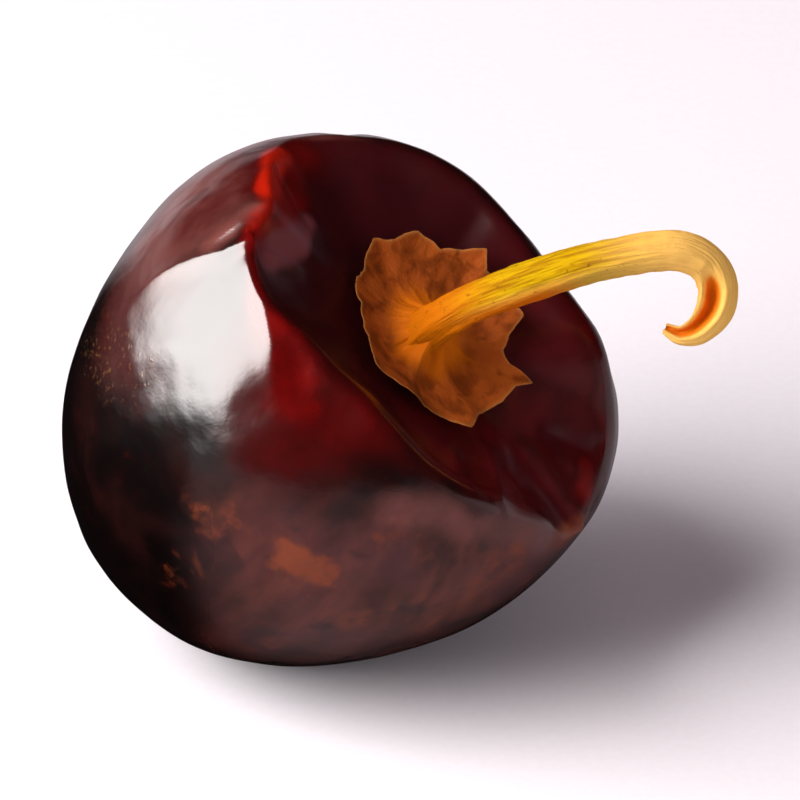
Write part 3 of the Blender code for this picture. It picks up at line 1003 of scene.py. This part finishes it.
def white_card():
    """Matt white card, which looks dimmer mirrored in the glossy pod than it does to the camera."""
    material, tree, shader = new_material("matt_white_card")
    place = add_node(tree, "TexCoord", output="Object")
    tooth = add_node(tree, "TexNoise", {"Vector": place, "Scale": PER_MM / 0.6, "Detail": 2.0}, "Fac")
    # The camera sees the card's tooth, the light it throws is plain, and glossy skin mirrors the glares.
    seen = add_node(tree, "Mix", {0: tooth, 6: "dedbe0", 7: "e4e1e6"}, 2, data_type="RGBA")
    glare = "060506"
    for way, near, far, tone in GLARES:
        along = add_node(tree, "VectorMath", {0: place, 1: way}, "Value", operation="DOT_PRODUCT")
        glare = lay_over(tree, glare, tone, along, near, far)
    looked_at = add_node(tree, "LightPath", output="Is Camera Ray")
    mirrored = add_node(tree, "LightPath", output="Is Glossy Ray")
    colour = add_node(tree, "Mix", {0: looked_at, 6: "cccace", 7: seen}, 2, data_type="RGBA")
    colour = add_node(tree, "Mix", {0: mirrored, 6: colour, 7: glare}, 2, data_type="RGBA")
    tree.links.new(colour, shader.inputs["Base Color"])
    shader.inputs["Roughness"].default_value = 1.0
    shader.inputs["Specular IOR Level"].default_value = 0.0
    return material


def lit_diffuser():
    """The softbox's diffusing cloth, which glows evenly but fades towards its sides and two corners."""
    material, tree, shader = new_material("lit_diffuser_cloth")
    place = add_node(tree, "TexCoord", output="Object")
    glow = KEY_RADIANCE
    for way, dark, lit in KEY_FADES:
        along = add_node(tree, "VectorMath", {0: place, 1: way}, "Value", operation="DOT_PRODUCT")
        glow = scaled_by(tree, glow, along, dark, lit)
    shader.inputs["Base Color"].default_value = srgb("000000")
    shader.inputs["Specular IOR Level"].default_value = 0.0
    shader.inputs["Emission Color"].default_value = srgb("fffaf8")
    tree.links.new(glow, shader.inputs["Emission Strength"])
    return material


def stage_object(name, bm, material):
    """Make a piece of the stage, which the part doesn't have."""
    mesh = bpy.data.meshes.new(name)
    bm.to_mesh(mesh)
    bm.free()
    mesh.materials.append(material)
    made = bpy.data.objects.new(name, mesh)
    bpy.context.scene.collection.objects.link(made)
    return made


def face_pod(thing, direction, distance):
    """Stand a light off from the pod in a direction and turn it to face the pod."""
    direction = Vector(direction).normalized()
    thing.location = Vector(POD_CENTRE) * MM + direction * distance
    thing.rotation_euler = direction.to_track_quat("Z", "Y").to_euler()


def make_floor():
    """The plain pale floor."""
    bm = bmesh.new()
    bmesh.ops.create_grid(bm, x_segments=1, y_segments=1, size=FLOOR_HALF_SIDE)
    stage_object("floor", bm, white_card())


def make_softbox():
    """The main light, a cloth panel that the glossy skin mirrors."""
    bm = bmesh.new()
    # A square one metre wide, stretched to the panel's width and height.
    bmesh.ops.create_grid(bm, x_segments=1, y_segments=1, size=0.5)
    bmesh.ops.scale(bm, vec=(*KEY_SIZE, 1.0), verts=bm.verts)
    softbox = stage_object("softbox", bm, lit_diffuser())
    face_pod(softbox, KEY_DIRECTION, KEY_DISTANCE)
    softbox.visible_camera = False


def make_fill_light():
    """A faint light from the right that lifts the shadows."""
    light = bpy.data.lights.new("fill", "AREA")
    light.size = FILL_SIZE
    light.energy = FILL_POWER
    fill = bpy.data.objects.new("fill", light)
    face_pod(fill, FILL_DIRECTION, FILL_DISTANCE)
    fill.visible_camera = False
    fill.visible_glossy = False
    bpy.context.scene.collection.objects.link(fill)


def make_studio_air():
    """The studio round the table: pale to look at, a soft fill, and dim in glossy skin but for bands."""
    world = bpy.data.worlds.new("studio")
    world.use_nodes = True
    tree = world.node_tree
    # The camera sees a pale room, the light it throws is dimmer, and glossy skin mirrors the bands.
    direction = add_node(tree, "TexCoord", output="Generated")
    height = add_node(tree, "SeparateXYZ", {0: direction}, "Z")
    low = scaled_by(tree, 1.0, height, ROOM_BAND_TOP, ROOM_BAND_FULL)
    gloss = "120e10"
    for way, start, tone in ROOM_BANDS:
        facing = add_node(tree, "VectorMath", {0: direction, 1: way}, "Value", operation="DOT_PRODUCT")
        band = scaled_by(tree, low, facing, start, 1.0)
        gloss = add_node(tree, "Mix", {0: band, 6: gloss, 7: tone}, 2, data_type="RGBA")
    looked_at = add_node(tree, "LightPath", output="Is Camera Ray")
    mirrored = add_node(tree, "LightPath", output="Is Glossy Ray")
    colour = add_node(tree, "Mix", {0: mirrored, 6: "7c6e75", 7: gloss}, 2, data_type="RGBA")
    colour = add_node(tree, "Mix", {0: looked_at, 6: colour, 7: "f4f2f5"}, 2, data_type="RGBA")
    tree.links.new(colour, tree.nodes["Background"].inputs["Color"])
    bpy.context.scene.world = world


def make_camera():
    """A long lens at the photograph's viewing angle."""
    away = towards_camera()
    right = Vector((1.0, 0.0, 0.0))
    up = away.cross(right)
    aim = Vector(POD_CENTRE) + right * CAMERA_AIM[0] + up * CAMERA_AIM[1]
    data = bpy.data.cameras.new("camera")
    data.lens = CAMERA_LENS
    data.clip_start = CAMERA_NEAREST * MM
    camera = bpy.data.objects.new("camera", data)
    camera.location = (aim + away * CAMERA_DISTANCE) * MM
    camera.rotation_euler = (math.radians(90.0 - CAMERA_ELEVATION_DEG), 0.0, 0.0)
    bpy.context.scene.collection.objects.link(camera)
    bpy.context.scene.camera = camera


make_camera()
make_floor()
make_softbox()
make_fill_light()
make_studio_air()
make_pod(dried_chilli_skin())
make_calyx(papery_calyx_skin())
make_stem(woody_stem_skin())
bpy.context.scene.view_settings.view_transform = "Standard"
